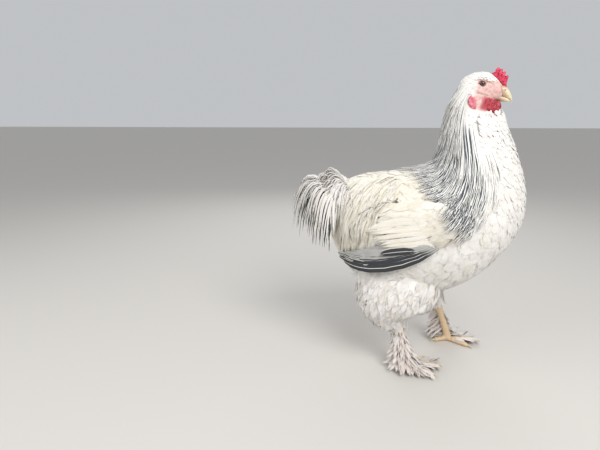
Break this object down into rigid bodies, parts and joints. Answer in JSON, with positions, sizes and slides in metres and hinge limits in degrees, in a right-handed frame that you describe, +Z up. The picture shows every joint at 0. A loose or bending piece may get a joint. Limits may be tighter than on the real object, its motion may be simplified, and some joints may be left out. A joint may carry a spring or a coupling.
{
  "type": "chicken figure",
  "caption": "Life-size still model of a light brahma cock in mid stride: striped hackle, folded wings, short dark tail, feathered feet, pea comb.",
  "frame": {"origin": "middle of the bird's box seen from above, on the floor under its feet", "axes": "+X towards the breast and beak, +Y towards the bird's left side, +Z up"},
  "size_m": [0.5196, 0.3068, 0.6781],
  "materials": {
    "white_plumage": "soft white feathers",
    "striped_hackle": "white feathers, each with a black stripe",
    "cream_plumage": "long cream-white feathers",
    "wing_plumage": "cream coverts over dark primaries",
    "tail_plumage": "black feathers edged with white",
    "foot_plumage": "white foot feathers over yellow scales",
    "face_skin": "pale pink bare skin, white crown feathers",
    "red_skin": "red pebbled skin",
    "eye": "wet dark brown",
    "horn_beak": "yellow horn, satin",
    "claw_horn": "pale horn, satin"
  },
  "bodies": {
    "root": {"torso": "white_plumage", "thigh_right": "white_plumage", "thigh_left": "white_plumage", "neck": "striped_hackle", "rump": "cream_plumage", "wing_right": "wing_plumage", "wing_left": "wing_plumage", "tail": "tail_plumage", "foot_right": "foot_plumage", "foot_left": "foot_plumage", "head": "face_skin", "comb": "red_skin", "wattle_right": "red_skin", "wattle_left": "red_skin", "earlobe_right": "red_skin", "earlobe_left": "red_skin", "eye_right": "eye", "eye_left": "eye", "beak_upper": "horn_beak", "beak_lower": "horn_beak", "claw_middle_right": "claw_horn", "claw_outer_right": "claw_horn", "claw_inner_right": "claw_horn", "claw_hind_right": "claw_horn", "claw_middle_left": "claw_horn", "claw_outer_left": "claw_horn", "claw_inner_left": "claw_horn", "claw_hind_left": "claw_horn"}
  },
  "joints": []
}
